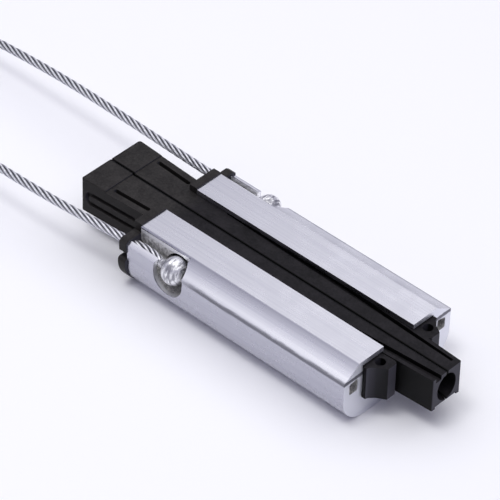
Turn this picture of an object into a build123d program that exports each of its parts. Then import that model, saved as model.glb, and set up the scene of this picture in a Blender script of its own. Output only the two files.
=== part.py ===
import math
import os

from build123d import *

os.makedirs("parts", exist_ok=True)

# Frame: +X runs from the wedge heads to the cable mouth, +Z up, Y = 0 is the parting plane.
# The origin is on the floor, under the middle of the wedges. All sizes are in millimetres.

# Wedge halves
wedge_length = 195.0
head_reach = 43.0            # the wedge heads stand this far out of the jaws
head_half_width = 18.3
nose_half_width = 8.8
wedge_height = 16.9
parting_gap = 0.5
head_land_length = 3.0       # the halves nearly meet along this land at the head
head_land_gap = 0.16
head_pad_length = 14.0       # thicker end pad of the head
head_pad_rise = 0.7
edge_radius = 1.4
top_edge_chamfer = 0.4
head_notch = 0.8             # V notch between the halves at the head end
bore_radius = 5.0
grip_start = 50.0            # head end to the middle of the first ring groove
grip_length = 84.0           # from there to the middle of the last
grip_rings = 5
grip_groove_width = 1.6
grip_groove_depth = 0.8
mouth_half_width = 5.8
mouth_half_height = 6.9
mouth_depth = 8.0
keel_depth = 1.1             # recess between the two rails of the underside
keel_rail = 2.1
head_slot_width = 2.0
head_slot_inset = 4.1        # outer face to the middle of the slot
head_slot_start = 15.7       # from the head end
head_slot_length = 20.3
head_slot_depth = 5.0
track_start = 2.4            # hairpin groove in the side of the head, from the head end
track_length = 29.0
track_height = 7.3
track_groove = 2.1
track_depth = 1.8
rail_width = 1.8             # outer rail of the long top grooves
top_groove_depth = 2.2
far_groove_setback = 18.0    # bail end of the body to the far half's groove
far_groove_inner_y = 9.0     # parting plane to the groove's inner side there
far_groove_end_width = 1.1
far_groove_end_wall = 3.0
near_groove_setback = 55.0   # bail end of the body to the near half's groove
near_groove_start_width = 1.6
near_groove_end_width = 3.3

# Aluminium body, one extrusion along X
body_length = 125.0
cavity_half_width = 22.1
side_wall = 11.4
floor_thickness = 10.4
lip_thickness = 2.4
lip_reach = 12.7             # each lip reaches in this far over the cavity
shoulder_inset = 9.3         # the flat top ends this far in from the outer side
shoulder_drop = 5.9
slope_hollow = 0.2           # the sloping shoulder is hollow by this in its middle
corner_radius = 14.0
bend_radius = 2.0
cavity_corner_radius = 0.8
channel_web = 2.9            # wall between the cavity and the rope channel
channel_width = 5.0
channel_floor_z = 16.3
channel_height = 6.7
channel_top_fall = 1.2       # the channel's roof slopes down outwards by this
channel_corner_radius = 1.0
slot_length = 29.4
slot_width = 6.0
pocket_radius = 8.4
pocket_setback = 23.8        # bail end of the body to the middle of the pocket
pocket_z = 19.75

# Bail rope and its ball ends
rope_diameter = 4.0
rope_inset = 6.7             # cavity wall to the rope's axis
rope_z = 22.1
ball_setback = 24.0
ball_clearance = 0.15
ball_half_length = 5.9       # the ball is a little shorter along the rope than across it
ball_sides = 8               # straight bands in the ball's outline, all round
neck_radius = 2.4
neck_length = 2.4

# Liners
collar_thickness = 4.2
collar_overhang = 0.6
collar_lobe_rise = 0.6       # the collar's lobe stands this far above the body
collar_lobe_end = 0.4        # and ends this far outside the shoulder bend
collar_hook_z = 26.5
collar_hook_chamfer = 1.7
collar_hook_drop = 1.2
collar_bottom_z = 0.3
collar_foot_overhang = 1.4   # the foot below the slit stands out further than the hook
collar_foot_round = 1.5      # its top corner
collar_foot_radius = 15.0    # its bottom corner
rope_hole_clearance = 0.5
keyhole_width = 3.4
slit_z = 17.0
slit_height = 1.0
slit_flare = 3.0             # the slit is this much higher at the foot's outer side
liner_top_gap = 0.6
block_reach = 8.75           # the block stands this far out of the mouth end
block_shoulder = 2.0         # its full width carries on this far
block_corner_x = 2.5         # from there its outer face runs in, in two slopes
block_corner_inset = 1.4
block_bend_x = 4.65
block_bend_inset = 3.6
block_end_width = 4.86
block_inner_chamfer = 1.2
block_hole_x = 3.2
block_hole_inset = 4.7       # liner's inner face to the hole's middle
block_hole_radius = 2.4
block_hole_depth = 4.0

# Running clearances of the wedges
wedge_side_clearance = 0.25
wedge_floor_clearance = 0.4
wedge_lip_clearance = 0.3

head_x = -wedge_length / 2
nose_x = wedge_length / 2
jaw_back = head_x + head_reach
jaw_front = jaw_back + body_length
body_half_width = cavity_half_width + side_wall
lip_tip_y = cavity_half_width - lip_reach
shoulder_y = body_half_width - shoulder_inset
wedge_bottom = floor_thickness + wedge_floor_clearance
wedge_top = wedge_bottom + wedge_height
lip_z = wedge_top + wedge_lip_clearance
body_height = lip_z + lip_thickness
shoulder_z = body_height - shoulder_drop
liner_top = lip_z - liner_top_gap
bore_z = wedge_bottom + wedge_height / 2
channel_y = cavity_half_width + channel_web
rope_y = cavity_half_width + rope_inset
rope_radius = rope_diameter / 2
ball_radius = rope_inset - ball_clearance
ball_x = jaw_back + ball_setback
neck_end_x = ball_x - ball_half_length - neck_length
taper = (head_half_width - nose_half_width) / wedge_length


def wedge_face_y(x):
    """Distance from the parting plane to the wedge's outer face at x."""
    return nose_half_width + (nose_x - x) * taper


def liner_face_y(x):
    """Distance from the parting plane to the liner's inner face at x."""
    return wedge_face_y(x) + wedge_side_clearance


def plan_prism(points, low_z, high_z, mode=Mode.ADD):
    """A solid with the given plan outline, from low_z to high_z."""
    with BuildSketch(Plane.XY.offset(low_z)) as plan:
        with BuildLine():
            Polyline(*points, close=True)
        make_face()
    extrude(plan.sketch, amount=high_z - low_z, mode=mode)


# Body: half of the section is drawn, cut for the rope and the ball, and mirrored
with BuildPart() as body:
    with BuildSketch(Plane.YZ.offset(jaw_back)):
        lower_bend = Vector(body_half_width, shoulder_z)
        upper_bend = Vector(shoulder_y, body_height)
        inwards = (upper_bend - lower_bend).rotate(Axis.Z, 90).normalized()
        hollow = (lower_bend + upper_bend) / 2 + inwards * slope_hollow
        with BuildLine():
            ThreePointArc(lower_bend, hollow, upper_bend)
            Polyline(
                upper_bend,
                (lip_tip_y, body_height),
                (lip_tip_y, lip_z),
                (cavity_half_width, lip_z),
                (cavity_half_width, floor_thickness),
                (0, floor_thickness),
                (0, 0),
                (body_half_width, 0),
                lower_bend,
            )
        section = make_face()
        corners = section.vertices()
        fillet(corners.sort_by_distance((body_half_width, 0))[0], radius=corner_radius)
        for bend in (lower_bend, upper_bend):
            fillet(corners.sort_by_distance(bend)[0], radius=bend_radius)
        for inside_z in (lip_z, floor_thickness):
            inside = corners.sort_by_distance((cavity_half_width, inside_z))[0]
            fillet(inside, radius=cavity_corner_radius)
    extrude(amount=body_length)
    # Rope channel, open at both ends
    with BuildSketch(Plane.YZ.offset(jaw_back)):
        with BuildLine():
            Polyline(
                (channel_y, channel_floor_z),
                (channel_y + channel_width, channel_floor_z),
                (channel_y + channel_width, channel_floor_z + channel_height - channel_top_fall),
                (channel_y, channel_floor_z + channel_height),
                close=True,
            )
        channel = make_face()
        fillet(channel.vertices(), radius=channel_corner_radius)
    extrude(amount=body_length, mode=Mode.SUBTRACT)
    # Slot that lets the rope drop into the channel
    slot_ends = [(jaw_back, channel_y), (jaw_back + slot_length, channel_y)]
    slot_ends += [(x, channel_y + slot_width) for x, y in reversed(slot_ends)]
    plan_prism(slot_ends, channel_floor_z, body_height, mode=Mode.SUBTRACT)
    # Pocket for the ball, bored in from the side as far as the cavity
    with BuildSketch(Plane.XZ.offset(-cavity_half_width)):
        with Locations((jaw_back + pocket_setback, pocket_z)):
            Circle(pocket_radius)
    extrude(amount=-side_wall, mode=Mode.SUBTRACT)
    # The same bore again round the ball's own axis, only as far in as the slot
    with BuildSketch(Plane.XZ.offset(-channel_y)):
        with Locations((ball_x, rope_z)):
            Circle(pocket_radius)
    extrude(amount=channel_y - body_half_width, mode=Mode.SUBTRACT)
    mirror(about=Plane.XZ)
body.part.label = "body"


def make_liner():
    """The liner of the far jaw (+Y): collar, tapered pad and end block in one moulding."""
    block_end = jaw_front + block_reach
    pad = [
        (jaw_back - collar_thickness, liner_face_y(jaw_back - collar_thickness)),
        (jaw_back - collar_thickness, cavity_half_width),
        (jaw_front + block_shoulder, cavity_half_width),
        (jaw_front + block_corner_x, cavity_half_width - block_corner_inset),
        (jaw_front + block_bend_x, cavity_half_width - block_bend_inset),
        (block_end, liner_face_y(block_end) + block_inner_chamfer + block_end_width),
        (block_end, liner_face_y(block_end) + block_inner_chamfer),
        (block_end - block_inner_chamfer, liner_face_y(block_end - block_inner_chamfer)),
    ]
    with BuildPart() as liner:
        # Collar plate on the bail end of the jaw
        with BuildSketch(Plane.YZ.offset(jaw_back - collar_thickness)) as collar:
            outer_y = body_half_width + collar_overhang
            foot_y = body_half_width + collar_foot_overhang
            inner_y = liner_face_y(jaw_back - collar_thickness)
            with BuildLine():
                Polyline(
                    (lip_tip_y, lip_z),
                    (lip_tip_y, body_height + collar_lobe_rise),
                    (shoulder_y + collar_lobe_end, body_height + collar_lobe_rise),
                    (shoulder_y + collar_lobe_end, collar_hook_z),
                    (outer_y - collar_hook_chamfer, collar_hook_z),
                    (outer_y, collar_hook_z - collar_hook_drop),
                    (outer_y, slit_z),
                    (foot_y, slit_z),
                    (foot_y, collar_bottom_z),
                    (inner_y, collar_bottom_z),
                    (inner_y, lip_z),
                    close=True,
                )
            plate = make_face()
            foot = plate.vertices().sort_by_distance((foot_y, collar_bottom_z))[0]
            fillet(foot, radius=collar_foot_radius)
            with Locations((rope_y, rope_z)):
                Circle(rope_radius + rope_hole_clearance, mode=Mode.SUBTRACT)
            # The rope is pressed in through a flared slit under the hook and a keyhole
            keyhole_height = rope_z - slit_z
            with Locations((rope_y, slit_z + keyhole_height / 2)):
                Rectangle(keyhole_width, keyhole_height, mode=Mode.SUBTRACT)
            slit_top_z = slit_z + slit_height
            with BuildLine():
                Polyline(
                    (rope_y, slit_z),
                    (foot_y, slit_z),
                    (foot_y, slit_top_z + slit_flare),
                    (rope_y, slit_top_z),
                    close=True,
                )
            make_face(mode=Mode.SUBTRACT)
            toe = collar.vertices().sort_by_distance((foot_y, slit_z))[0]
            fillet(toe, radius=collar_foot_round)
        extrude(amount=collar_thickness)
        plan_prism(pad, floor_thickness, liner_top)
        # Blind hole in the top of the block
        hole_x = jaw_front + block_hole_x
        hole_y = liner_face_y(hole_x) + block_hole_inset
        with Locations(Plane((hole_x, hole_y, liner_top))):
            Hole(radius=block_hole_radius, depth=block_hole_depth)
    return liner.part


liner_far = make_liner()
liner_far.label = "liner_far"
liner_near = mirror(liner_far, about=Plane.XZ)
liner_near.label = "liner_near"


def cut_bore():
    """The gripping bore: ring grooves inside the jaws, plain lands on both sides, a flared mouth."""
    points = [(head_x, 0), (head_x, bore_radius)]
    for ring in range(grip_rings):
        middle = head_x + grip_start + ring * grip_length / (grip_rings - 1)
        points.append((middle - grip_groove_width / 2, bore_radius))
        points.append((middle, bore_radius + grip_groove_depth))
        points.append((middle + grip_groove_width / 2, bore_radius))
    points += [(nose_x, bore_radius), (nose_x, 0)]
    with BuildSketch(Plane((0, 0, bore_z), x_dir=(1, 0, 0), z_dir=(0, -1, 0))) as grip_profile:
        with BuildLine():
            Polyline(*points, close=True)
        make_face()
    bore_axis = Axis((0, 0, bore_z), (1, 0, 0))
    revolve(grip_profile.sketch, axis=bore_axis, mode=Mode.SUBTRACT)
    throat_plane = Plane((nose_x - mouth_depth, 0, bore_z), x_dir=(0, 1, 0), z_dir=(1, 0, 0))
    with BuildSketch(throat_plane) as throat:
        Circle(bore_radius)
    with BuildSketch(throat_plane.offset(mouth_depth)) as mouth:
        Ellipse(mouth_half_width, mouth_half_height)
    loft(sections=[throat.sketch, mouth.sketch], mode=Mode.SUBTRACT)


def make_wedge_half(groove):
    """The far half (+Y) of the wedge; groove is the plan outline of the long groove in its top."""
    land_y = head_land_gap / 2
    inner_y = parting_gap / 2
    pad_end = head_x + head_pad_length
    head_plan = [
        (head_x + head_land_length, inner_y),
        (head_x + head_land_length, land_y),
        (head_x + head_notch, land_y),
        (head_x, land_y + head_notch),
        (head_x, head_half_width),
    ]
    with BuildPart() as half:
        plan_prism(head_plan + [(nose_x, nose_half_width), (nose_x, inner_y)], wedge_bottom, wedge_top)
        pad_side = [(pad_end, wedge_face_y(pad_end)), (pad_end, inner_y)]
        plan_prism(head_plan + pad_side, wedge_top, wedge_top + head_pad_rise)
        upright = half.edges().filter_by(Axis.Z)
        outer = upright.filter_by(lambda edge: edge.center().Y > nose_half_width - edge_radius)
        fillet(outer.filter_by(lambda edge: edge.center().X < pad_end - edge_radius), radius=edge_radius)
        fillet(outer.sort_by(Axis.X)[-1], radius=edge_radius / 2)
        # Edge round the top of the head pad, on its outer side and its end
        pad_top = half.edges().group_by(Axis.Z)[-1]
        pad_rim = pad_top.filter_by(lambda edge: edge.center().Y > land_y + head_notch)
        chamfer(pad_rim.sort_by(Axis.X)[:-1], length=top_edge_chamfer)
        # Recess between the rails of the underside
        keel = [
            (pad_end, 0),
            (pad_end, wedge_face_y(pad_end) - keel_rail),
            (nose_x, nose_half_width - keel_rail),
            (nose_x, 0),
        ]
        plan_prism(keel, wedge_bottom, wedge_bottom + keel_depth, mode=Mode.SUBTRACT)
        plan_prism(groove, wedge_top - top_groove_depth, wedge_top, mode=Mode.SUBTRACT)
        # Slot in the top, just behind the collar, parallel to the outer face
        slot_x = head_x + head_slot_start + head_slot_length / 2
        tilt = -math.degrees(math.atan(taper))
        slot_y = wedge_face_y(slot_x) - head_slot_inset
        with BuildSketch(Plane.XY.offset(wedge_top)):
            with Locations(Location((slot_x, slot_y, 0), (0, 0, tilt))):
                SlotOverall(head_slot_length, head_slot_width)
        extrude(amount=-head_slot_depth, mode=Mode.SUBTRACT)
        # Hairpin groove in the side of the head, its bend towards the head end
        track_x = head_x + track_start + track_height / 2
        side_normal = (math.sin(math.radians(-tilt)), math.cos(math.radians(tilt)), 0)
        face_point = (track_x, wedge_face_y(track_x), bore_z)
        side = Plane(face_point, x_dir=(math.cos(math.radians(tilt)), math.sin(math.radians(tilt)), 0),
                     z_dir=side_normal)
        straight = track_length - track_height / 2
        with BuildSketch(side):
            for height, mode in ((track_height, Mode.ADD), (track_height - 2 * track_groove, Mode.SUBTRACT)):
                Circle(height / 2, mode=mode)
                with Locations((straight / 2, 0)):
                    Rectangle(straight, height, mode=mode)
        extrude(amount=-track_depth, mode=Mode.SUBTRACT)
        cut_bore()
    return half.part


rail_y = nose_half_width - rail_width

# Far half: the groove is a long triangle that closes just before the nose
far_start = jaw_back + far_groove_setback
far_end = nose_x - far_groove_end_wall
far_groove = [
    (far_start, far_groove_inner_y),
    (far_start, wedge_face_y(far_start) - rail_width),
    (far_end, wedge_face_y(far_end) - rail_width),
    (far_end, rail_y - far_groove_end_width),
]
wedge_far = make_wedge_half(far_groove)
wedge_far.label = "wedge_far"

# Near half: the groove widens towards the nose and runs out of it
near_start = jaw_back + near_groove_setback
near_rail_y = wedge_face_y(near_start) - rail_width
near_groove = [
    (near_start, near_rail_y - near_groove_start_width),
    (near_start, near_rail_y),
    (nose_x, rail_y),
    (nose_x, rail_y - near_groove_end_width),
]
wedge_near = mirror(make_wedge_half(near_groove), about=Plane.XZ)
wedge_near.label = "wedge_near"


def make_ball_end(y):
    """A swaged ball, pressed in flat bands round the rope, with its short neck towards the bail."""
    half_band = math.pi / ball_sides
    corners = [half_band * (1 + 2 * side) for side in range(ball_sides)]
    reach_x = ball_half_length / math.cos(half_band)
    reach_y = ball_radius / math.cos(half_band)
    with BuildPart() as ball_end:
        with BuildSketch(Plane((ball_x, y, rope_z))):
            with BuildLine():
                Polyline(*[(reach_x * math.cos(a), reach_y * math.sin(a)) for a in corners], close=True)
            make_face()
            with Locations(((neck_end_x - ball_x) / 2, 0)):
                Rectangle(ball_x - neck_end_x, 2 * neck_radius)
            with Locations((0, -2 * ball_radius)):
                Rectangle(6 * ball_radius, 4 * ball_radius, mode=Mode.SUBTRACT)
        revolve(axis=Axis((ball_x, y, rope_z), (1, 0, 0)))
    return ball_end.part


ball_end_far = make_ball_end(rope_y)
ball_end_far.label = "ball_end_far"
ball_end_near = make_ball_end(-rope_y)
ball_end_near.label = "ball_end_near"

# Route of the bail rope, from the near neck round the loop to the far neck.
# Its X is counted from the bail end of the jaws.
rope_route = [
    (-8.0, -28.8, 22.1),
    (-50.0, -32.7, 22.2),
    (-109.5, -32.1, 20.6),
    (-154.0, -33.2, 15.4),
    (-213.0, -34.6, 3.1),
    (-235.0, 0.8, 1.95),
    (-213.0, 34.8, 3.2),
    (-169.0, 33.3, 15.3),
    (-110.0, 32.1, 20.9),
    (-65.0, 30.4, 22.0),
    (-14.0, 28.8, 22.1),
]
near_neck = (neck_end_x, -rope_y, rope_z)
far_neck = (neck_end_x, rope_y, rope_z)
points = [near_neck] + [(jaw_back + x, y, z) for x, y, z in rope_route] + [far_neck]
runs = [Vector(*b) - Vector(*a) for a, b in zip(points, points[1:])]
radii = []
for before, after in zip(runs, runs[1:]):
    half_turn = math.radians(before.get_angle(after)) / 2
    radii.append(0.45 * min(before.length, after.length) / math.tan(half_turn))
print("rope runs", [round(run.length, 1) for run in runs])
print("rope radii", [round(radius, 1) for radius in radii])

with BuildPart() as rope:
    with BuildLine():
        route = FilletPolyline(*points, radius=radii)
    with BuildSketch(Plane(near_neck, x_dir=(0, 1, 0), z_dir=(-1, 0, 0))):
        Circle(rope_radius)
    sweep(path=route)
bail_rope = rope.part
bail_rope.label = "bail_rope"
section_area = math.pi * rope_radius**2
print("rope length", round(route.length, 1), "volume ratio", bail_rope.volume / (section_area * route.length))

pieces = [
    body.part,
    liner_near,
    liner_far,
    wedge_near,
    wedge_far,
    bail_rope,
    ball_end_near,
    ball_end_far,
]
for piece in pieces:
    export_step(piece, f"parts/{piece.label}.step")
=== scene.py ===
import math

import bmesh
import bpy
from mathutils import Matrix, Vector


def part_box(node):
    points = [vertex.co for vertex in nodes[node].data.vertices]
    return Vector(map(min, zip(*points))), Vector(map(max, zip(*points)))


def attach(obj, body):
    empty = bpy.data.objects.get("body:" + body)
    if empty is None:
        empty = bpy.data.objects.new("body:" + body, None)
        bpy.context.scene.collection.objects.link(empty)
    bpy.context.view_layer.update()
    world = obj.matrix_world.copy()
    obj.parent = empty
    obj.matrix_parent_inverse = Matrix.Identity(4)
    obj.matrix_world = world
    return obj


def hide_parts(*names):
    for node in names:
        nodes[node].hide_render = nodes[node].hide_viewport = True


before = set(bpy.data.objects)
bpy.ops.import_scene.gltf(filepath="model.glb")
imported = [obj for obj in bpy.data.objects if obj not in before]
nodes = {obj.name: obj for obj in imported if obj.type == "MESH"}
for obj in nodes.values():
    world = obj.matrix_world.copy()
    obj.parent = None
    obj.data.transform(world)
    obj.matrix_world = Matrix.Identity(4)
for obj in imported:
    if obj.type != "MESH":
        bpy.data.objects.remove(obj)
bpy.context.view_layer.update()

mm = 0.001
bodyLow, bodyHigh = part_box("body")
jawBack = bodyLow.x              # bail end of the aluminium body
cavityWall = 22.1 * mm           # half the width of the body's inside
shoulderHigh = 24.2 * mm         # the flat top ends here,
shoulderLow = (33.5 * mm, 24.5 * mm)     # and the slope below it here, as width and height
print("frame loaded:", len(nodes), "nodes")


# Materials

def linear(hexColour):
    channels = [int(hexColour[i:i + 2], 16) / 255 for i in (1, 3, 5)]
    return tuple(c / 12.92 if c <= 0.04045 else ((c + 0.055) / 1.055) ** 2.4 for c in channels) + (1,)


def addNode(tree, kind, values=None, links=None, **settings):
    node = tree.nodes.new(kind)
    for name, value in settings.items():
        setattr(node, name, value)
    for socket, value in (values or {}).items():
        node.inputs[socket].default_value = value
    for socket, source in (links or {}).items():
        tree.links.new(source, node.inputs[socket])
    return node


def startMaterial(name):
    material = bpy.data.materials.new(name)
    material.use_nodes = True
    tree = material.node_tree
    tree.nodes.clear()
    shader = addNode(tree, "ShaderNodeBsdfPrincipled")
    addNode(tree, "ShaderNodeOutputMaterial", links={"Surface": shader.outputs["BSDF"]})
    place = addNode(tree, "ShaderNodeTexCoord")
    return material, tree, shader, place


def setColours(ramp, stops):
    elements = ramp.color_ramp.elements
    while len(elements) < len(stops):
        elements.new(0.5)
    for element, (position, colour) in zip(elements, stops):
        element.position = position
        element.color = linear(colour)


# Mill-finish aluminium extrusion: soft satin with long die lines, and duller sawn ends
aluminium = {
    "lines": [(0.3, "#C9C9D1"), (0.6, "#D3D3D9")],
    "lineWidth": 0.35 * mm,
    "lineLength": 60 * mm,
    # Painted light and shade on each face, brighter or darker where its reflection would be, as width from
    # the middle in millimetres and shade
    "faces": [
        (24.2, "#FFFFFF"), (24.6, "#D4D4D9"), (28.5, "#ECECEF"), (31.5, "#FFFFFF"), (33.2, "#E0E0E5"),
    ],
    "cloud": 14 * mm,            # uneven handling marks
    "roughness": (0.22, 0.34),   # it varies between these in the clouds
    "bump": (0.16, 0.02 * mm),   # strength and depth of die lines and saw marks

    "sawn": "#E6E7EE",
    "sawnRoughness": 0.5,
    "sawnFacing": (0.85, 0.97),  # how squarely a face has to look along X to be a sawn one
    "sawMark": 0.5 * mm,         # between saw marks, drawn coarse enough to show
    "sawMarkLength": 10 * mm,
    "sawLean": math.radians(20),

    "cut": [(0.38, "#BDBCBA"), (0.6, "#FAF9F7")],    # slot and pocket, milled rough
    "cutGrain": 1.6 * mm,        # torn and smeared patches in the cuts
    "cutRoughness": 0.62,
    "cutDepth": 0.5 * mm,        # the cuts start this far under the outside faces
    "cutLow": 11 * mm,           # and reach down to here
    "cutMargin": 0.1 * mm,       # the sawn ends keep clear of them
    "rimAndHighlight": "#FDFDFF",            # bright burred rim round the cuts, with a painted highlight along it,
    "rimDepth": (1.56 * mm, 2.6 * mm),   # which fades out between these depths
    "rimRoughness": 0.55,

    "bend": "#74747C",           # painted dark reflection along the bend between slope and wall
    "bendBelow": (1.9 * mm, 1.2 * mm),   # it fades in from here to here below the bend
    "bendAbove": (0.5 * mm, 0.1 * mm),   # and above it,
    "bendStart": (28.9 * mm, 40.8 * mm),     # and along it, from the bail end
    "bendWave": 0.5 * mm,        # how far it wanders up and down
    "bendPatch": (8 * mm, 2 * mm),   # length and height of one wave
}


def cutMask(tree, place):
    # 1 inside the slot, the pocket and the channel, and how deep under the outside faces
    s = aluminium
    split = addNode(tree, "ShaderNodeSeparateXYZ", links={"Vector": place.outputs["Object"]})
    width = addNode(tree, "ShaderNodeMath", links={0: split.outputs["Y"]}, operation="ABSOLUTE")
    slope = Vector((bodyHigh.z - shoulderLow[1], shoulderLow[0] - shoulderHigh)).normalized()
    reach = slope.x * shoulderLow[0] + slope.y * shoulderLow[1]
    tilted = addNode(
        tree, "ShaderNodeMath", {1: -slope.x, 2: reach}, {0: width.outputs[0]}, operation="MULTIPLY_ADD")
    under = addNode(
        tree, "ShaderNodeMath", {1: -slope.y}, {0: split.outputs["Z"], 2: tilted.outputs[0]},
        operation="MULTIPLY_ADD")
    for edge, value in ((bodyHigh.y, width.outputs[0]), (bodyHigh.z, split.outputs["Z"])):
        depth = addNode(tree, "ShaderNodeMath", {0: edge}, {1: value}, operation="SUBTRACT")
        under = addNode(
            tree, "ShaderNodeMath", links={0: under.outputs[0], 1: depth.outputs[0]}, operation="MINIMUM")
    mask = addNode(
        tree, "ShaderNodeMath", {1: s["cutDepth"]}, {0: under.outputs[0]}, operation="GREATER_THAN")
    tests = [
        (split.outputs["X"], "GREATER_THAN", jawBack + s["cutMargin"]),
        (split.outputs["X"], "LESS_THAN", bodyHigh.x - s["cutMargin"]),
        (split.outputs["Z"], "GREATER_THAN", s["cutLow"]),
        (width.outputs[0], "GREATER_THAN", cavityWall + 2 * s["cutMargin"]),
    ]
    for value, kind, limit in tests:
        test = addNode(tree, "ShaderNodeMath", {1: limit}, {0: value}, operation=kind)
        mask = addNode(
            tree, "ShaderNodeMath", links={0: mask.outputs[0], 1: test.outputs[0]}, operation="MULTIPLY")
    return mask.outputs[0], under.outputs[0]


def bendMask(tree, place):
    # 1 where the dark reflection is painted, along the lower bend of the slope, beyond the cuts
    s = aluminium
    length, height = s["bendPatch"]
    stretch = addNode(
        tree, "ShaderNodeMapping", {"Scale": (height / length, 1, 1)}, {"Vector": place.outputs["Object"]})
    wander = addNode(
        tree, "ShaderNodeTexNoise", {"Scale": 1 / height, "Detail": 3, "Roughness": 0.6},
        {"Vector": stretch.outputs["Vector"]})
    shift = addNode(
        tree, "ShaderNodeMath", {1: 2 * s["bendWave"], 2: -s["bendWave"]}, {0: wander.outputs["Fac"]},
        operation="MULTIPLY_ADD")
    split = addNode(tree, "ShaderNodeSeparateXYZ", links={"Vector": place.outputs["Object"]})
    wavy = addNode(
        tree, "ShaderNodeMath", links={0: split.outputs["Z"], 1: shift.outputs[0]}, operation="ADD")
    none, full = s["bendStart"]
    mask = addNode(
        tree, "ShaderNodeMapRange", {"From Min": jawBack + none, "From Max": jawBack + full},
        {"Value": split.outputs["X"]})
    for way, (none, full) in ((-1, s["bendBelow"]), (1, s["bendAbove"])):
        fade = addNode(
            tree, "ShaderNodeMapRange",
            {"From Min": shoulderLow[1] + way * none, "From Max": shoulderLow[1] + way * full},
            {"Value": wavy.outputs[0]})
        mask = addNode(
            tree, "ShaderNodeMath", links={0: mask.outputs[0], 1: fade.outputs[0]}, operation="MULTIPLY")
    return mask.outputs[0]


def dieLinesAndPaintedLight(tree, place, lines):
    # Die lines, times the painted light and shade on each face by its width from the middle
    s = aluminium
    lineShade = addNode(tree, "ShaderNodeValToRGB", links={"Fac": lines})
    setColours(lineShade, s["lines"])
    split = addNode(tree, "ShaderNodeSeparateXYZ", links={"Vector": place.outputs["Object"]})
    width = addNode(tree, "ShaderNodeMath", links={0: split.outputs["Y"]}, operation="ABSOLUTE")
    share = addNode(
        tree, "ShaderNodeMath", {1: 1 / bodyHigh.y}, {0: width.outputs[0]}, operation="MULTIPLY")
    faces = addNode(tree, "ShaderNodeValToRGB", links={"Fac": share.outputs[0]})
    setColours(faces, [(w * mm / bodyHigh.y, hexColour) for w, hexColour in s["faces"]])
    shade = addNode(
        tree, "ShaderNodeMix", {"Factor": 1},
        {"A": lineShade.outputs["Color"], "B": faces.outputs["Color"]},
        data_type="RGBA", blend_type="MULTIPLY")
    return shade.outputs["Result"]


def cutShade(tree, place, rimAndHighlight):
    s = aluminium
    torn = addNode(
        tree, "ShaderNodeTexNoise", {"Scale": 1 / s["cutGrain"], "Detail": 4, "Roughness": 0.7},
        {"Vector": place.outputs["Object"]})
    tornShade = addNode(tree, "ShaderNodeValToRGB", links={"Fac": torn.outputs["Fac"]})
    setColours(tornShade, s["cut"])
    # The burred rim, lightened by a painted highlight, over the torn metal
    shade = addNode(
        tree, "ShaderNodeMix", {"B": linear(s["rimAndHighlight"])}, {"Factor": rimAndHighlight, "A": tornShade.outputs["Color"]},
        data_type="RGBA")
    return shade.outputs["Result"]


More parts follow.
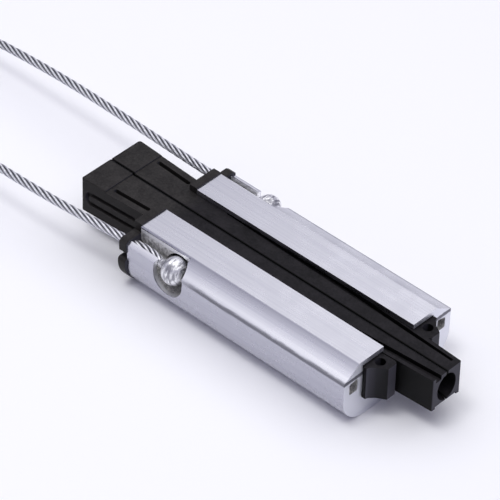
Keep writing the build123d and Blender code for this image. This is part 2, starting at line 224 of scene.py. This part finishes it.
def makeAluminium():
    s = aluminium
    material, tree, shader, place = startMaterial("millFinishAluminium")
    normal = addNode(tree, "ShaderNodeSeparateXYZ", links={"Vector": place.outputs["Normal"]})
    facing = addNode(tree, "ShaderNodeMath", links={0: normal.outputs["X"]}, operation="ABSOLUTE")
    sawn = addNode(
        tree, "ShaderNodeMapRange", {"From Min": s["sawnFacing"][0], "From Max": s["sawnFacing"][1]},
        {"Value": facing.outputs[0]})
    cut, under = cutMask(tree, place)
    rimAndHighlight = addNode(
        tree, "ShaderNodeMapRange", {"From Min": s["rimDepth"][1], "From Max": s["rimDepth"][0]},
        {"Value": under})
    stretch = addNode(
        tree, "ShaderNodeMapping", {"Scale": (s["lineWidth"] / s["lineLength"], 1, 1)},
        {"Vector": place.outputs["Object"]})
    lines = addNode(
        tree, "ShaderNodeTexNoise", {"Scale": 0.5 / s["lineWidth"], "Detail": 3, "Roughness": 0.6},
        {"Vector": stretch.outputs["Vector"]})

    ended = addNode(
        tree, "ShaderNodeMix", {"B": linear(s["sawn"])},
        {"Factor": sawn.outputs[0], "A": dieLinesAndPaintedLight(tree, place, lines.outputs["Fac"])}, data_type="RGBA")
    # Painted dark reflection along the lower bend of the slope
    bendReflected = addNode(
        tree, "ShaderNodeMix", {"B": linear(s["bend"])},
        {"Factor": bendMask(tree, place), "A": ended.outputs["Result"]}, data_type="RGBA")
    colour = addNode(
        tree, "ShaderNodeMix",
        links={"Factor": cut, "A": bendReflected.outputs["Result"], "B": cutShade(tree, place, rimAndHighlight.outputs[0])},
        data_type="RGBA")
    tree.links.new(colour.outputs["Result"], shader.inputs["Base Color"])

    clouds = addNode(
        tree, "ShaderNodeTexNoise", {"Scale": 1 / s["cloud"], "Detail": 4, "Roughness": 0.65},
        {"Vector": place.outputs["Object"]})
    faceRough = addNode(
        tree, "ShaderNodeMapRange",
        {"From Min": 0.3, "From Max": 0.7, "To Min": s["roughness"][0], "To Max": s["roughness"][1]},
        {"Value": clouds.outputs["Fac"]})
    cutRough = addNode(
        tree, "ShaderNodeMix", {"A": s["cutRoughness"], "B": s["rimRoughness"]}, {"Factor": rimAndHighlight.outputs[0]})
    mixedRough = addNode(
        tree, "ShaderNodeMix", links={"Factor": cut, "A": faceRough.outputs[0], "B": cutRough.outputs[0]})
    rough = addNode(
        tree, "ShaderNodeMix", {"B": s["sawnRoughness"]},
        {"Factor": sawn.outputs[0], "A": mixedRough.outputs[0]})
    tree.links.new(rough.outputs[0], shader.inputs["Roughness"])

    sawStretch = addNode(
        tree, "ShaderNodeMapping",
        {"Rotation": (s["sawLean"], 0, 0), "Scale": (1, 1, s["sawMark"] / s["sawMarkLength"])},
        {"Vector": place.outputs["Object"]})
    sawMarks = addNode(
        tree, "ShaderNodeTexNoise", {"Scale": 1 / s["sawMark"], "Detail": 2},
        {"Vector": sawStretch.outputs["Vector"]})
    height = addNode(
        tree, "ShaderNodeMix",
        links={"Factor": sawn.outputs[0], "A": lines.outputs["Fac"], "B": sawMarks.outputs["Fac"]})
    bump = addNode(
        tree, "ShaderNodeBump", {"Strength": s["bump"][0], "Distance": s["bump"][1]},
        {"Height": height.outputs[0]})
    tree.links.new(bump.outputs["Normal"], shader.inputs["Normal"])
    shader.inputs["Metallic"].default_value = 1
    return material


# Black glass-filled nylon, moulded in spark-eroded tools: matt, with a fine even grain
plastic = {
    "side": "#060606",           # faces that look sideways stay black inside the jaws, as painted shade
    "headSide": "#232120",       # and are greyer on the heads
    "top": [(0.38, "#100F11"), (0.62, "#262427")],       # upward ones are painted lighter, as lit from above, in patches,
    "head": [(0.38, "#201E1E"), (0.62, "#373534")],      # and lighter still on the heads
    "headStart": (6 * mm, -2 * mm),      # the heads come in from here to here, from the bail end
    "paintedFrontLight": "#424148",          # painted light on the nose, which faces the mouth
    "upFacing": (0.3, 0.9),      # how far a face has to look up,
    "frontFacing": (0.5, 0.9),   # or towards the mouth, for its painted light
    "mottle": 1.0 * mm,
    "flow": 9 * mm,              # flow marks of the glass fibres
    "grain": 0.22 * mm,          # the tool's texture,
    "grainBump": (0.5, 0.03 * mm),   # with its strength and depth
    "roughness": (0.45, 0.59),
    "ior": 1.53,
    "specular": 0.11,            # the eroded texture swallows most of the shine

    "parting": "#020202",        # painted shade in the seam, where the two halves are rounded towards each other,
    "partingWidth": 0.8 * mm,    # this far from the plane where they meet
    "partingDepth": 0.5 * mm,
}


def patchesAndPaintedLight(tree, place, onHead):
    # Side faces, upward ones and the nose, in patches that follow the flow of the moulding, with painted
    # light on the upward faces and the nose and painted shade on the sides
    s = plastic
    flow = addNode(
        tree, "ShaderNodeTexNoise", {"Scale": 1 / s["flow"], "Detail": 5, "Roughness": 0.7},
        {"Vector": place.outputs["Object"]})
    mottle = addNode(
        tree, "ShaderNodeTexNoise", {"Scale": 1 / s["mottle"], "Detail": 4, "Roughness": 0.75},
        {"Vector": place.outputs["Object"]})
    patches = addNode(
        tree, "ShaderNodeMix", {"Factor": 0.5}, {"A": flow.outputs["Fac"], "B": mottle.outputs["Fac"]})
    shades = []
    for stops in (s["top"], s["head"]):
        shade = addNode(tree, "ShaderNodeValToRGB", links={"Fac": patches.outputs[0]})
        setColours(shade, stops)
        shades.append(shade.outputs["Color"])
    top = addNode(
        tree, "ShaderNodeMix", links={"Factor": onHead, "A": shades[0], "B": shades[1]}, data_type="RGBA")
    side = addNode(
        tree, "ShaderNodeMix", {"A": linear(s["side"]), "B": linear(s["headSide"])}, {"Factor": onHead},
        data_type="RGBA")
    normal = addNode(tree, "ShaderNodeSeparateXYZ", links={"Vector": place.outputs["Normal"]})
    upward = addNode(
        tree, "ShaderNodeMapRange", {"From Min": s["upFacing"][0], "From Max": s["upFacing"][1]},
        {"Value": normal.outputs["Z"]})
    forward = addNode(
        tree, "ShaderNodeMapRange", {"From Min": s["frontFacing"][0], "From Max": s["frontFacing"][1]},
        {"Value": normal.outputs["X"]})
    # Painted light on upward faces, over the painted shade of the sides
    litUpward = addNode(
        tree, "ShaderNodeMix",
        links={"Factor": upward.outputs[0], "A": side.outputs["Result"], "B": top.outputs["Result"]},
        data_type="RGBA")
    # Painted light on faces that look towards the mouth
    shade = addNode(
        tree, "ShaderNodeMix", {"B": linear(s["paintedFrontLight"])},
        {"Factor": forward.outputs[0], "A": litUpward.outputs["Result"]}, data_type="RGBA")
    return shade.outputs["Result"], flow.outputs["Fac"]


def makePlastic(name, parting):
    s = plastic
    material, tree, shader, place = startMaterial(name)
    split = addNode(tree, "ShaderNodeSeparateXYZ", links={"Vector": place.outputs["Object"]})
    none, full = s["headStart"]
    onHead = addNode(
        tree, "ShaderNodeMapRange", {"From Min": jawBack + none, "From Max": jawBack + full},
        {"Value": split.outputs["X"]})
    shade, flow = patchesAndPaintedLight(tree, place, onHead.outputs[0])
    grain = addNode(
        tree, "ShaderNodeTexNoise", {"Scale": 1 / s["grain"], "Detail": 2},
        {"Vector": place.outputs["Object"]})
    bump = addNode(
        tree, "ShaderNodeBump", {"Strength": s["grainBump"][0], "Distance": s["grainBump"][1]},
        {"Height": grain.outputs["Fac"]})
    if parting:
        width = addNode(tree, "ShaderNodeMath", links={0: split.outputs["Y"]}, operation="ABSOLUTE")
        # Painted shade in the crease where the two halves meet
        seam = addNode(
            tree, "ShaderNodeMath", {1: s["partingWidth"]}, {0: width.outputs[0]}, operation="LESS_THAN")
        seamShaded = addNode(
            tree, "ShaderNodeMix", {"B": linear(s["parting"])}, {"Factor": seam.outputs[0], "A": shade},
            data_type="RGBA")
        shade = seamShaded.outputs["Result"]
        rounded = addNode(
            tree, "ShaderNodeMapRange", {"From Min": 0, "From Max": s["partingWidth"]},
            {"Value": width.outputs[0]})
        groove = addNode(
            tree, "ShaderNodeBump", {"Strength": 1, "Distance": s["partingDepth"]},
            {"Height": rounded.outputs[0]})
        tree.links.new(groove.outputs["Normal"], bump.inputs["Normal"])
    rough = addNode(
        tree, "ShaderNodeMapRange", {"To Min": s["roughness"][0], "To Max": s["roughness"][1]},
        {"Value": flow})
    tree.links.new(shade, shader.inputs["Base Color"])
    tree.links.new(rough.outputs[0], shader.inputs["Roughness"])
    tree.links.new(bump.outputs["Normal"], shader.inputs["Normal"])
    shader.inputs["IOR"].default_value = s["ior"]
    shader.inputs["Specular IOR Level"].default_value = s["specular"]
    return material


# Galvanised wire: bright drawn wires, with painted shade between them and painted highlights on their
# crests
galvanised = {
    # Painted shade in the valleys, then a strand's flanks, and a painted highlight on its crest
    "shades": [(0.05, "#7C7C82"), (0.6, "#AEAFB5"), (0.97, "#F4F4F8")],
    "patch": 0.8 * mm,           # random patches,
    "patchShift": 0.12,          # which move the shade up or down by this
    "roughness": (0.75, 0.5),
}


def makeGalvanised():
    s = galvanised
    material, tree, shader, place = startMaterial("galvanisedWire")
    patches = addNode(
        tree, "ShaderNodeTexNoise", {"Scale": 1 / s["patch"], "Detail": 4, "Roughness": 0.7},
        {"Vector": place.outputs["Object"]})
    crest = addNode(tree, "ShaderNodeAttribute", attribute_name="crest")
    shift = addNode(
        tree, "ShaderNodeMath", {1: 2 * s["patchShift"], 2: -s["patchShift"]},
        {0: patches.outputs["Fac"]}, operation="MULTIPLY_ADD")
    height = addNode(
        tree, "ShaderNodeMath", links={0: crest.outputs["Fac"], 1: shift.outputs[0]}, operation="ADD")
    # Painted shade in the valleys and painted highlight on the crests, by the crest value
    shade = addNode(tree, "ShaderNodeValToRGB", links={"Fac": height.outputs[0]})
    setColours(shade, s["shades"])
    tree.links.new(shade.outputs["Color"], shader.inputs["Base Color"])
    rough = addNode(
        tree, "ShaderNodeMapRange", {"To Min": s["roughness"][0], "To Max": s["roughness"][1]},
        {"Value": patches.outputs["Fac"]})
    tree.links.new(rough.outputs[0], shader.inputs["Roughness"])
    shader.inputs["Metallic"].default_value = 1
    return material


# Plated steel pressed by rotary swaging: bright bands and duller streaks round the rope's line
plated = {
    "shades": [(0.42, "#A0A0A6"), (0.54, "#FAFAFB")],
    "band": 1.1 * mm,            # width of a band,
    "bandDepth": 0.6 * mm,       # and how deep the hammers leave it
    "streak": 0.5 * mm,
    "streakBump": (0.7, 0.12 * mm),
    "squeeze": 0.22,             # both run round the ball, so they are drawn out that way
    "roughness": (0.5, 0.26),    # dull and bright
}


def makePlated():
    s = plated
    material, tree, shader, place = startMaterial("platedSteel")
    squeeze = addNode(
        tree, "ShaderNodeMapping", {"Scale": (1, s["squeeze"], s["squeeze"])},
        {"Vector": place.outputs["Object"]})
    bands = addNode(
        tree, "ShaderNodeTexNoise", {"Scale": 1 / s["band"], "Detail": 4, "Roughness": 0.62},
        {"Vector": squeeze.outputs["Vector"]})
    streaks = addNode(
        tree, "ShaderNodeTexNoise", {"Scale": 1 / s["streak"], "Detail": 3, "Roughness": 0.6},
        {"Vector": squeeze.outputs["Vector"]})
    shade = addNode(tree, "ShaderNodeValToRGB", links={"Fac": bands.outputs["Fac"]})
    setColours(shade, s["shades"])
    tree.links.new(shade.outputs["Color"], shader.inputs["Base Color"])
    rough = addNode(
        tree, "ShaderNodeMapRange",
        {"From Min": 0.35, "From Max": 0.65, "To Min": s["roughness"][0], "To Max": s["roughness"][1]},
        {"Value": bands.outputs["Fac"]})
    tree.links.new(rough.outputs[0], shader.inputs["Roughness"])
    lumps = addNode(
        tree, "ShaderNodeBump", {"Strength": 1, "Distance": s["bandDepth"]},
        {"Height": bands.outputs["Fac"]})
    bump = addNode(
        tree, "ShaderNodeBump", {"Strength": s["streakBump"][0], "Distance": s["streakBump"][1]},
        {"Height": streaks.outputs["Fac"], "Normal": lumps.outputs["Normal"]})
    tree.links.new(bump.outputs["Normal"], shader.inputs["Normal"])
    shader.inputs["Metallic"].default_value = 1
    return material


edges = {
    "sawnAluminium": 0.25 * mm,  # width of the broken edges
    "moulding": 0.35 * mm,
    "segments": 2,
    "sharp": math.radians(32),   # corners flatter than this are left as they are
    "weld": 0.002 * mm,
}


def softenEdges(piece, width):
    weld = piece.modifiers.new("joinFaces", "WELD")
    weld.merge_threshold = edges["weld"]
    bevel = piece.modifiers.new("brokenEdges", "BEVEL")
    bevel.width = width
    bevel.segments = edges["segments"]
    bevel.limit_method = "ANGLE"
    bevel.angle_limit = edges["sharp"]
    flats = piece.modifiers.new("flatsStayFlat", "WEIGHTED_NORMAL")
    flats.mode = "FACE_AREA"
    flats.weight = 100
    flats.keep_sharp = True
    piece.data.polygons.foreach_set("use_smooth", [True] * len(piece.data.polygons))


def dress(name, material, edge):
    piece = nodes[name]
    piece.data.materials.clear()
    piece.data.materials.append(material)
    softenEdges(piece, edge)


linerPlastic = makePlastic("mouldedLinerNylon", parting=False)
wedgePlastic = makePlastic("glassFilledNylon", parting=True)
dress("body", makeAluminium(), edges["sawnAluminium"])
for side in ("near", "far"):
    dress("liner_" + side, linerPlastic, edges["moulding"])
    dress("wedge_" + side, wedgePlastic, edges["moulding"])
print("aluminium and plastic done")


# Bail rope: six strands of seven wires laid round a core

rope = {
    "diameter": 4.0 * mm,
    "length": 0.532,             # neck to neck
    "strands": 6,
    "strandFill": 0.985,         # a strand's thickness, where 1 leaves no play between them
    "lay": 27.6 * mm,            # one turn of a strand, right hand
    "wires": 6,                  # round the middle one
    "wireLay": 13 * mm,          # the wires turn the other way in their strand
    "wireRelief": 0.4,           # and are worn nearly flush with it
    "pointsPerWire": 4,
    "coreSides": 8,
    "stepsPerPoint": 31,         # rings along the rope for each point of its route
}

# Route of the rope in millimetres, X from the bail end of the body. It arches a little in the slots
ropeRoute = [
    (11.0, -27.9, 22.9),
    (4.0, -27.9, 22.9),
    (-3.5, -28.8, 22.1),
    (-8.0, -28.8, 22.1),
    (-50.0, -32.7, 22.2),
    (-109.5, -32.1, 20.6),
    (-154.0, -33.2, 15.4),
    (-213.0, -34.6, 3.1),
    (-235.0, 0.8, 1.95),
    (-213.0, 34.8, 3.2),
    (-169.0, 33.3, 15.3),
    (-110.0, 32.1, 20.9),
    (-65.0, 30.4, 22.0),
    (-14.0, 28.8, 22.1),
    (-3.5, 28.8, 22.1),
    (4.0, 27.9, 22.9),
    (11.0, 27.9, 22.9),
]


def neckPoint(node):
    low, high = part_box(node)
    return Vector((low.x, (low.y + high.y) / 2, (low.z + high.z) / 2))


def readRoute():
    points = [neckPoint("ball_end_near")]
    points += [Vector((jawBack + x * mm, y * mm, z * mm)) for x, y, z in ropeRoute]
    points.append(neckPoint("ball_end_far"))
    curve = bpy.data.curves.new("ropeRoute", "CURVE")
    curve.dimensions = "3D"
    curve.resolution_u = rope["stepsPerPoint"]
    spline = curve.splines.new("NURBS")
    spline.points.add(len(points) - 1)
    for place, point in zip(spline.points, points):
        place.co = (*point, 1)
    spline.order_u = 3
    spline.use_endpoint_u = True
    route = bpy.data.objects.new("ropeRoute", curve)
    bpy.context.scene.collection.objects.link(route)
    mesh = bpy.data.meshes.new_from_object(route)
    path = [vertex.co.copy() for vertex in mesh.vertices]
    bpy.data.objects.remove(route)
    bpy.data.meshes.remove(mesh)
    return path


def travellingFrames(path):
    # A frame at each point, carried along without twisting
    tangents = []
    for i in range(len(path)):
        tangents.append((path[min(i + 1, len(path) - 1)] - path[max(i - 1, 0)]).normalized())
    side = tangents[0].cross(Vector((0, 0, 1))).normalized()
    frames = []
    for i, tangent in enumerate(tangents):
        if i:
            side = tangents[i - 1].rotation_difference(tangent) @ side
        side = (side - side.dot(tangent) * tangent).normalized()
        frames.append((side, side.cross(tangent)))
    return frames


def strandOutline(strandRadius):
    # Outline of six wires round a middle one, as angle and radius
    wireRadius = strandRadius / 3
    wireCentre = strandRadius - wireRadius
    step = 2 * math.pi / rope["wires"]
    count = rope["wires"] * rope["pointsPerWire"]
    outline = []
    for i in range(count):
        angle = i * 2 * math.pi / count
        off = (angle + step / 2) % step - step / 2
        reach = max(wireRadius**2 - (wireCentre * math.sin(off)) ** 2, 0)
        wire = wireCentre * math.cos(off) + math.sqrt(reach)
        outline.append((angle, strandRadius + (wire - strandRadius) * rope["wireRelief"]))
    return outline


def tube(bm, rings, crests=None):
    loops = [[bm.verts.new(point) for point in ring] for ring in rings]
    if crests:
        layer = bm.verts.layers.float["crest"]
        for loop, values in zip(loops, crests):
            for vertex, value in zip(loop, values):
                vertex[layer] = value
    for a, b in zip(loops, loops[1:]):
        for i in range(len(a)):
            j = (i + 1) % len(a)
            bm.faces.new((a[i], a[j], b[j], b[i]))
    bm.faces.new(list(reversed(loops[0])))
    bm.faces.new(loops[-1])


def makePiece(name, bm, material):
    bmesh.ops.recalc_face_normals(bm, faces=bm.faces)
    mesh = bpy.data.meshes.new(name)
    bm.to_mesh(mesh)
    bm.free()
    mesh.polygons.foreach_set("use_smooth", [True] * len(mesh.polygons))
    mesh.materials.append(material)
    piece = bpy.data.objects.new(name, mesh)
    bpy.context.scene.collection.objects.link(piece)
    return piece


def addStrand(bm, strand, strandRadius, path, frames, travelled):
    strandCentre = rope["diameter"] / 2 - strandRadius
    outline = strandOutline(strandRadius)
    rings = []
    crests = []
    for point, (across, up), done in zip(path, frames, travelled):
        turn = 2 * math.pi * (strand / rope["strands"] - done / rope["lay"])
        wireTurn = 2 * math.pi * done / rope["wireLay"]
        out = math.cos(turn) * across + math.sin(turn) * up
        around = math.cos(turn) * up - math.sin(turn) * across
        centre = point + strandCentre * out
        rings.append([
            centre + radius * (math.cos(angle + wireTurn) * out + math.sin(angle + wireTurn) * around)
            for angle, radius in outline
        ])
        crests.append([math.cos(angle + wireTurn) for angle, radius in outline])
    tube(bm, rings, crests)


def makeRope():
    path = readRoute()
    frames = travellingFrames(path)
    travelled = [0]
    for a, b in zip(path, path[1:]):
        travelled.append(travelled[-1] + (b - a).length)
    print("rope follows", len(path), "points,", round(travelled[-1] / mm, 1), "mm")
    strandRadius = rope["diameter"] / 6 * rope["strandFill"]     # three strands lie across the rope
    bm = bmesh.new()
    bm.verts.layers.float.new("crest")       # 1 on a strand's outermost line, 0 on its flanks
    for strand in range(rope["strands"]):
        addStrand(bm, strand, strandRadius, path, frames, travelled)
    turns = [2 * math.pi * i / rope["coreSides"] for i in range(rope["coreSides"])]
    coreRings = []
    for point, (across, up) in zip(path, frames):
        coreRings.append([point + strandRadius * (math.cos(t) * across + math.sin(t) * up) for t in turns])
    tube(bm, coreRings)
    return makePiece("bailRope", bm, makeGalvanised()), path


ropePiece, ropePath = makeRope()
print("rope done")


# Ball ends: swaged on the rope in bands, with a short neck

ball = {
    "neckRadius": 2.4 * mm,
    "neckLength": 2.4 * mm,
    "neckBevel": (0.35 * mm, 0.86),      # length of the neck's bevel, and the radius that it leaves
    "bands": 8,                  # flats round the outline, pole to pole
    "crown": 0.55,               # 0 leaves the bands flat, 1 makes them part of the sphere
    "segments": 96,
    "stepsPerBand": 7,
}


def ballOutline(halfLength, radius, neckEnd):
    # Distance along the rope and radius, from the neck's end to the far pole
    bevel, share = ball["neckBevel"]
    outline = [(neckEnd, 0), (neckEnd, ball["neckRadius"] * share), (neckEnd + bevel, ball["neckRadius"])]
    start = math.asin(ball["neckRadius"] / radius)
    band = (math.pi - start) / ball["bands"]
    for k in range(ball["bands"]):
        for step in range(ball["stepsPerBand"]):
            angle = start + (k + step / ball["stepsPerBand"]) * band
            toMiddle = start + (k + 0.5) * band - angle
            flat = math.cos(band / 2) / math.cos(toMiddle)
            swell = flat + (1 - flat) * ball["crown"]
            outline.append((-halfLength * swell * math.cos(angle), radius * swell * math.sin(angle)))
    outline.append((halfLength, 0))
    return outline


def makeBall(side, material):
    low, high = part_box("ball_end_" + side)
    radius = (high.z - low.z) / 2
    halfLength = (high.x - low.x - ball["neckLength"]) / 2
    centre = Vector((high.x - halfLength, (low.y + high.y) / 2, (low.z + high.z) / 2))
    turns = [2 * math.pi * i / ball["segments"] for i in range(ball["segments"])]
    bm = bmesh.new()
    loops = []
    for x, r in ballOutline(halfLength, radius, low.x - centre.x):
        spots = [(x, r * math.cos(t), r * math.sin(t)) for t in turns] if r else [(x, 0, 0)]
        loops.append([bm.verts.new(centre + Vector(spot)) for spot in spots])
    for a, b in zip(loops, loops[1:]):
        for i in range(ball["segments"]):
            j = (i + 1) % ball["segments"]
            corners = [a[i % len(a)], a[j % len(a)], b[j % len(b)], b[i % len(b)]]
            bm.faces.new(list(dict.fromkeys(corners)))       # a pole counts once
    piece = makePiece("ballEnd" + side.capitalize(), bm, material)
    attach(piece, "jaws")
    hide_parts("ball_end_" + side)
    return piece


platedSteel = makePlated()
balls = [makeBall(side, platedSteel) for side in ("near", "far")]
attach(ropePiece, "jaws")
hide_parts("bail_rope")
print("ball ends done")


# Floor, light and camera

studio = {
    "floor": "#FBFBFD",
    "floorRoughness": 0.9,
    "floorSize": 6.0,
    "keyPower": 4.1,
    "keySize": (0.45, 0.45),
    "keyPlace": (-0.1, -0.38, 1.4),
    "panelPower": 1.5,           # a wide weak panel above, a little towards the far side
    "panelSize": (0.88, 1.25),
    "panelPlace": (-0.07, 0.12, 0.68),
    "sky": [                     # from the horizon at 0 to overhead at 1
        (0.0, "#BCBCC8"), (0.34, "#A6A5B8"), (0.50, "#7A7992"), (0.61, "#6C6A84"),
        (0.70, "#DAD9EA"), (0.76, "#FAFAFF"),
    ],
    "skyTilt": math.radians(9),  # its bright part leans to the far side
    "skyStrength": 1.01,
}


def makeFloor():
    s = studio
    half = s["floorSize"] / 2
    bm = bmesh.new()
    bm.faces.new([bm.verts.new((x * half, y * half, 0)) for x, y in ((-1, -1), (1, -1), (1, 1), (-1, 1))])
    material, _, shader, _ = startMaterial("paperSweep")
    shader.inputs["Base Color"].default_value = linear(s["floor"])
    shader.inputs["Roughness"].default_value = s["floorRoughness"]
    shader.inputs["Specular IOR Level"].default_value = 0
    makePiece("floor", bm, material)


def makeLamp(name, shape, size, power, place, aim):
    lamp = bpy.data.lights.new(name, "AREA")
    lamp.shape = shape
    lamp.size, lamp.size_y = size
    lamp.energy = power
    holder = bpy.data.objects.new(name, lamp)
    holder.location = place
    holder.rotation_mode = "QUATERNION"
    holder.rotation_quaternion = Vector(aim).to_track_quat("-Z", "Y")
    bpy.context.scene.collection.objects.link(holder)


def makeSky():
    s = studio
    world = bpy.data.worlds.new("studio")
    bpy.context.scene.world = world
    world.use_nodes = True
    tree = world.node_tree
    tree.nodes.clear()
    place = addNode(tree, "ShaderNodeTexCoord")
    axis = (0, math.sin(s["skyTilt"]), math.cos(s["skyTilt"]))
    height = addNode(
        tree, "ShaderNodeVectorMath", {1: axis}, {0: place.outputs["Generated"]}, operation="DOT_PRODUCT")
    ramp = addNode(tree, "ShaderNodeValToRGB", links={"Fac": height.outputs["Value"]})
    setColours(ramp, s["sky"])
    sky = addNode(
        tree, "ShaderNodeBackground", {"Strength": s["skyStrength"]}, {"Color": ramp.outputs["Color"]})
    addNode(tree, "ShaderNodeOutputWorld", links={"Surface": sky.outputs["Background"]})


photoCamera = {
    "azimuth": 42.01,            # degrees, 0 looks along +Y
    "elevation": 40.64,
    "roll": 1.74,
    "distance": 1.72077,
    "target": (-0.02195, 0.0088, 0.016),
    "lens": 288,
    "sensor": 36,
    "clip": (0.05, 20),
}


def makeCamera():
    s = photoCamera
    azimuth, elevation, roll = (math.radians(s[k]) for k in ("azimuth", "elevation", "roll"))
    back = Vector((
        math.sin(azimuth) * math.cos(elevation),
        -math.cos(azimuth) * math.cos(elevation),
        math.sin(elevation),
    ))
    right = Vector((math.cos(azimuth), math.sin(azimuth), 0))
    up = back.cross(right)
    rolledRight = math.cos(roll) * right + math.sin(roll) * up
    rolledUp = math.cos(roll) * up - math.sin(roll) * right
    turn = Matrix((rolledRight, rolledUp, back)).transposed().to_4x4()
    data = bpy.data.cameras.new("photoCamera")
    data.lens = s["lens"]
    data.sensor_width = s["sensor"]
    data.clip_start, data.clip_end = s["clip"]
    camera = bpy.data.objects.new("photoCamera", data)
    camera.matrix_world = Matrix.Translation(Vector(s["target"]) + s["distance"] * back) @ turn
    bpy.context.scene.collection.objects.link(camera)
    bpy.context.scene.camera = camera


makeFloor()
makeLamp(
    "keyLamp", "DISK", studio["keySize"], studio["keyPower"], studio["keyPlace"],
    aim=-Vector(studio["keyPlace"]))
makeLamp(
    "panel", "RECTANGLE", studio["panelSize"], studio["panelPower"], studio["panelPlace"],
    aim=(0, 0, -1))
makeSky()
makeCamera()
bpy.context.scene.view_settings.view_transform = "Standard"
print("studio done")
